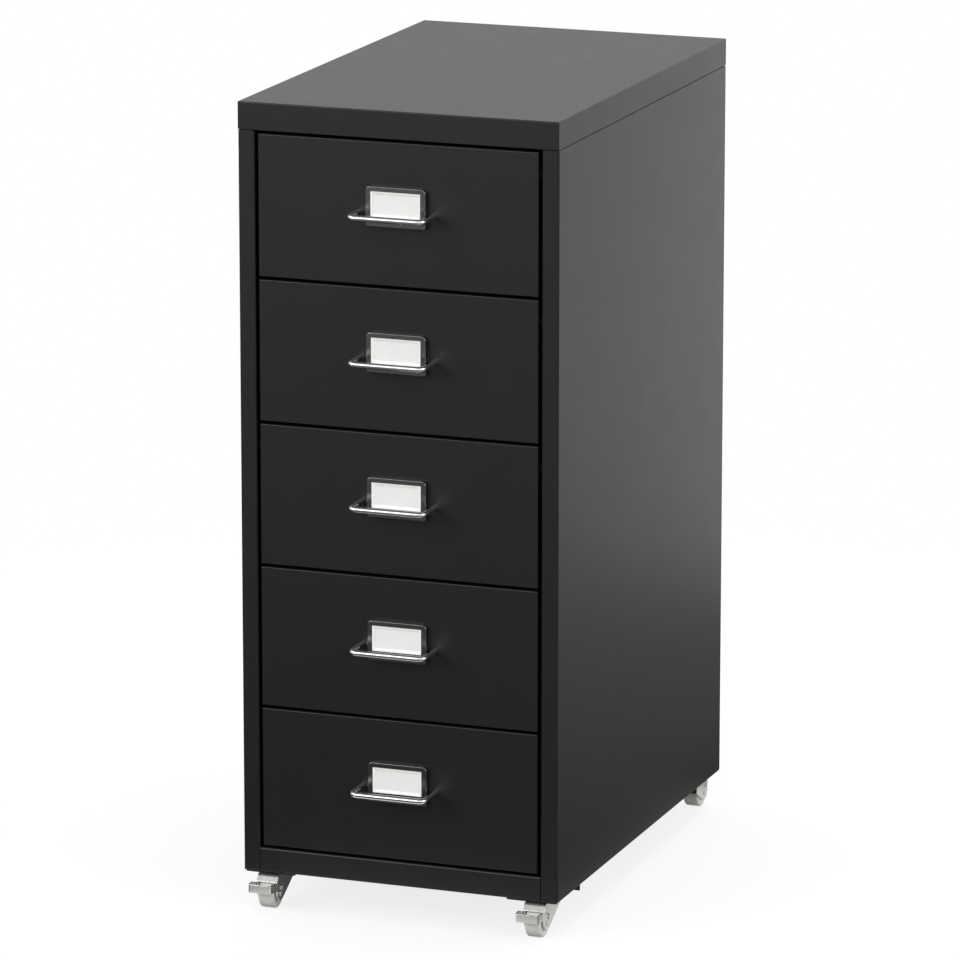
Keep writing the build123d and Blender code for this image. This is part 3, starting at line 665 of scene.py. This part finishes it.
# ---------------------------------------------------------------- castor stems
# Stretches of the stem's section. A point is its height above the place that its stretch starts
# from, and its radius.
STEM_RADIUS = 4.0
RIVET = [(0.0, AXIS_RADIUS), (0.0, 4.6), (0.35, 5.6), (0.9, 6.0), (1.3, 6.0), (1.3, STEM_RADIUS)]
RACE_FOOT = [(0.0, STEM_RADIUS), (0.0, 6.4), (0.25, 7.0)]
RACE_GROOVE = [(-0.25, 7.0), (-0.1, 6.5), (0.1, 6.5), (0.25, 7.0)]
RACE_HEAD = [(-0.2, 7.0), (0.0, 6.5), (0.0, STEM_RADIUS), (2.5, STEM_RADIUS)]
RACE_PLAY = 0.2         # between the fork and the race
THREAD_START = 2.7      # above the race
THREAD_PITCH = 0.9
THREAD_TURN = [(0.0, STEM_RADIUS), (0.4, 3.6), (0.5, 3.6)]
STEM_CHAMFER = 0.6
STEM_TIP = [(-STEM_CHAMFER, STEM_RADIUS), (0.0, 3.4), (0.0, AXIS_RADIUS)]
STEM_SEGMENTS = 48
STEM_SHARP = 30
BRACKET_SHEET = 1.5


def raised(stretch, start):
    return [(start + rise, radius) for rise, radius in stretch]


def stem_profile(bottom, race_low, race_high, top):
    """A swivel stem's section: riveted head, plain neck, ball race and threaded end."""
    profile = raised(RIVET, bottom) + raised(RACE_FOOT, race_low)
    profile += raised(RACE_GROOVE, (race_low + race_high) / 2) + raised(RACE_HEAD, race_high)
    place = race_high + THREAD_START
    while place + THREAD_PITCH < top - STEM_CHAMFER:
        profile += raised(THREAD_TURN, place)
        place += THREAD_PITCH
    return profile + raised(STEM_TIP, top)


def make_stems(materials):
    """Turned stems in place of the plain ones. All four are one piece, as in the CAD."""
    race_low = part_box("front_left_castor_fork")[1].z / MILLIMETRE + RACE_PLAY
    race_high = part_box("castor_brackets")[1].z / MILLIMETRE - BRACKET_SHEET
    work = bmesh.new()
    for low, high in solid_boxes(frame["nodes"]["castor_stems"]):
        centre = ((low.x + high.x) / 2, (low.y + high.y) / 2, 0)
        profile = stem_profile(low.z / MILLIMETRE, race_low, race_high, high.z / MILLIMETRE)
        part = turned("stem", profile, centre, "Z", STEM_SEGMENTS)
        work.from_mesh(part)
        bpy.data.meshes.remove(part)
    mesh = bpy.data.meshes.new("castor_stems")
    work.to_mesh(mesh)
    work.free()
    piece = finish_piece(
        "castor_stems_turned", mesh, materials["zinc_steel"], "casing", STEM_SHARP
    )
    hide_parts("castor_stems")


# ---------------------------------------------------------------- floor
FLOOR_HALF = 20.0
FLOOR_MATT = 0.9        # the grey that the shadow falls on
FLOOR_BOUNCE = 0.35     # the grey that lights the object from below
SHADOW_REACH = (0.55, 1.3)
SHADOW_SHARE = (0.18, 0.0)
STUDIO_TINT = (1.0, 1.0, 0.965, 1.0)

# What glossy surfaces mirror of the floor: strips of light, each over a span of X or Y, and a
# bright band round the casing's foot, stronger in front and dark under the casing, where the
# darkness is a painted shadow of the casing. The spread scales the distance from the casing, so
# the band is narrower at the sides than front and back.
REAR_SPAN, REAR_LIGHT = (0.0, 2.2), (0.0, 0.33)
NEAR_SPAN, NEAR_LIGHT = (0.15, 0.45), (0.0, 0.06)
BESIDE_SPAN, BESIDE_LIGHT = (0.16, 0.24), (0.0, 0.10)
FRONT_SPAN, FRONT_LIGHT = (-3.0, 0.0), (0.33, 0.0)
FOOT_HALF = (0.14, 0.22, 0.0)
FOOT_SPREAD = (2.0, 0.85, 0.0)
FOOT_REACH, FOOT_LIGHT = (0.03, 0.09), (0.60, 0.03)
AHEAD_SPAN, AHEAD_GAIN = (-0.25, -0.20), (1.3, 1.0)
UNDER_REACH, UNDER_SHARE = (0.008, 0.04), (1.0, 0.06)


def foot_light(graph, place, depth):
    """The strength of the bright band round the casing's foot, with a painted shadow under the casing."""
    spread = graph.vector_math("ABSOLUTE", place).outputs["Vector"]
    beyond = graph.vector_math("SUBTRACT", spread, FOOT_HALF).outputs["Vector"]
    outside = graph.vector_math("MAXIMUM", beyond, (0, 0, 0)).outputs["Vector"]
    scaled = graph.vector_math("MULTIPLY", outside, FOOT_SPREAD).outputs["Vector"]
    gap = graph.vector_math("LENGTH", scaled).outputs["Value"]
    lit = graph.ramp(gap, FOOT_REACH, FOOT_LIGHT, smooth=True)
    ahead = graph.ramp(depth, AHEAD_SPAN, AHEAD_GAIN)
    inward = graph.add("ShaderNodeSeparateXYZ", {0: beyond}).outputs
    under = graph.math("MULTIPLY", graph.math("MAXIMUM", inward["X"], inward["Y"]), -1.0)
    # Painted shadow: the mirrored floor light goes dark under the casing.
    shade = graph.ramp(under, UNDER_REACH, UNDER_SHARE, smooth=True)
    return graph.math("MULTIPLY", graph.math("MULTIPLY", lit, ahead), shade)


def mirrored_floor(graph, place):
    """The floor's light as glossy surfaces mirror it."""
    across, depth = graph.add("ShaderNodeSeparateXYZ", {0: place}).outputs[:2]
    rear = graph.ramp(depth, REAR_SPAN, REAR_LIGHT)
    near = graph.ramp(depth, NEAR_SPAN, NEAR_LIGHT)
    beside = graph.ramp(across, BESIDE_SPAN, BESIDE_LIGHT)
    front = graph.ramp(depth, FRONT_SPAN, FRONT_LIGHT)
    strength = graph.total(rear, front, near, foot_light(graph, place, depth), beside)
    return graph.add("ShaderNodeEmission", {"Color": STUDIO_TINT, "Strength": strength}).outputs[0]


def make_floor():
    """White to the camera apart from the object's shadow, mirrored as strips of light, else grey."""
    side = FLOOR_HALF
    corners = [(-side, -side, 0), (side, -side, 0), (side, side, 0), (-side, side, 0)]
    mesh = new_mesh("floor", corners, [(0, 1, 2, 3)])
    floor = bpy.data.objects.new("floor", mesh)
    bpy.context.scene.collection.objects.link(floor)

    material = bpy.data.materials.new("floor")
    material.use_nodes = True
    material.node_tree.nodes.clear()
    graph = Graph(material.node_tree)
    rays = graph.add("ShaderNodeLightPath").outputs
    place = graph.add("ShaderNodeNewGeometry").outputs["Position"]
    away = graph.vector_math("LENGTH", place).outputs["Value"]
    share = graph.ramp(away, SHADOW_REACH, SHADOW_SHARE, smooth=True)
    matt = graph.add("ShaderNodeBsdfDiffuse", {"Color": grey(FLOOR_MATT)}).outputs[0]
    white = graph.add("ShaderNodeEmission", {"Color": grey(1.0), "Strength": 1.0}).outputs[0]
    seen = graph.add("ShaderNodeMixShader", {0: share, 1: white, 2: matt}).outputs[0]
    plain = graph.add("ShaderNodeBsdfDiffuse", {"Color": grey(FLOOR_BOUNCE)}).outputs[0]
    sharp = graph.math("MAXIMUM", rays["Is Glossy Ray"], rays["Is Transmission Ray"])
    mirrored = mirrored_floor(graph, place)
    unseen = graph.add("ShaderNodeMixShader", {0: sharp, 1: plain, 2: mirrored}).outputs[0]
    both = graph.add("ShaderNodeMixShader", {0: rays["Is Camera Ray"], 1: unseen, 2: seen})
    graph.add("ShaderNodeOutputMaterial", {"Surface": both.outputs[0]})
    mesh.materials.append(material)


# ---------------------------------------------------------------- world
# The studio's light by direction: spans of a unit direction's Y, towards the back, or its Z, up.
BEHIND_SPAN, BEHIND_LIGHT = (-0.6, 0.7), (0.15, 0.67)
BAND_SPAN, BAND_LIGHT = (0.1, 0.5), (0.0, 0.5)
FRONT_WALL_SPAN, FRONT_WALL_SHARE = (-0.3, 0.2), (1.0, 0.0)
FRONT_WALL_RISE, FRONT_WALL_LIGHT = (0.0, 0.2), (0.0, 0.55)
CROWN_SPAN, CROWN_SHARE = (0.6, 0.9), (1.0, 0.12)


def make_world():
    """White where the camera looks; elsewhere a studio with bright walls, dim low in front and overhead."""
    world = bpy.data.worlds.new("studio")
    bpy.context.scene.world = world
    world.use_nodes = True
    world.node_tree.nodes.clear()
    graph = Graph(world.node_tree)
    rays = graph.add("ShaderNodeLightPath").outputs
    toward = graph.add("ShaderNodeTexCoord").outputs["Generated"]
    parts = graph.add("ShaderNodeSeparateXYZ", {0: toward}).outputs
    behind = graph.ramp(parts["Y"], BEHIND_SPAN, BEHIND_LIGHT, smooth=True)
    band = graph.ramp(parts["Z"], BAND_SPAN, BAND_LIGHT, smooth=True)
    ahead = graph.ramp(parts["Y"], FRONT_WALL_SPAN, FRONT_WALL_SHARE, smooth=True)
    rise = graph.ramp(parts["Z"], FRONT_WALL_RISE, FRONT_WALL_LIGHT, smooth=True)
    walls = graph.total(behind, band, graph.math("MULTIPLY", ahead, rise))
    crown = graph.ramp(parts["Z"], CROWN_SPAN, CROWN_SHARE, smooth=True)
    glow = graph.math("MULTIPLY", walls, crown)
    studio = graph.add("ShaderNodeBackground", {"Color": STUDIO_TINT, "Strength": glow}).outputs[0]
    white = graph.add("ShaderNodeBackground", {"Color": grey(1.0), "Strength": 1.0}).outputs[0]
    both = graph.add("ShaderNodeMixShader", {0: rays["Is Camera Ray"], 1: studio, 2: white})
    graph.add("ShaderNodeOutputWorld", {"Surface": both.outputs[0]})


# ---------------------------------------------------------------- lamps
def make_lamp(name, place, aim, size, watts, seen=True, mirrored=True):
    """A rectangular soft lamp, which the camera and glossy surfaces may be kept from seeing."""
    data = bpy.data.lights.new(name, "AREA")
    data.shape = "RECTANGLE"
    data.size, data.size_y = size
    data.energy = watts
    lamp = bpy.data.objects.new(name, data)
    bpy.context.scene.collection.objects.link(lamp)
    lamp.location = place
    lamp.rotation_mode = "QUATERNION"
    lamp.rotation_quaternion = (Vector(aim) - Vector(place)).to_track_quat("-Z", "Y")
    lamp.visible_camera = seen
    lamp.visible_glossy = mirrored


def make_lamps():
    """Soft light from above, front left and right; two low-powered panels are there to be mirrored."""
    make_lamp(
        "overhead", place=(0.1, 0.2, 2.7), aim=(0, 0, 0.5), size=(2.4, 2.4), watts=52, mirrored=False
    )
    make_lamp("front_left", place=(-2.4, -3.0, 2.0), aim=(0, 0, 0.35), size=(1.8, 1.8), watts=48)
    make_lamp("front_strip", place=(-1.25, -2.75, 1.3), aim=(0, -0.2, 0.4), size=(1.2, 0.7), watts=5.5)
    make_lamp("right", place=(3.0, -0.9, 1.8), aim=(0, 0, 0.4), size=(1.6, 1.6), watts=30)
    make_lamp(
        "behind_right", place=(0.25, 0.9, 0.5), aim=(0.25, 0.0, 0.5), size=(0.4, 0.95), watts=0.95,
        seen=False,
    )


# ---------------------------------------------------------------- the scene
make_camera()
materials = {
    "black_paint": make_powder_coat(),
    "chrome": make_chrome(),
    "dark_nickel": make_dark_nickel(),
    "zinc_steel": make_zinc(),
    "label_card": make_card(),
    "wheel_plastic": make_wheel_plastic(),
    "label_liner": make_liner_plastic(),
}
dress_cad_nodes(materials)
make_label_liners(materials)
make_screws(materials, "casing_screws", "casing", CASING_HEAD)
for level in range(1, DRAWERS + 1):
    make_screws(materials, f"drawer_{level}_pull_screws", f"drawer_{level}", PULL_HEAD)
make_wheels(materials)
make_stems(materials)
make_floor()
make_world()
make_lamps()
bpy.context.scene.view_settings.view_transform = "Standard"
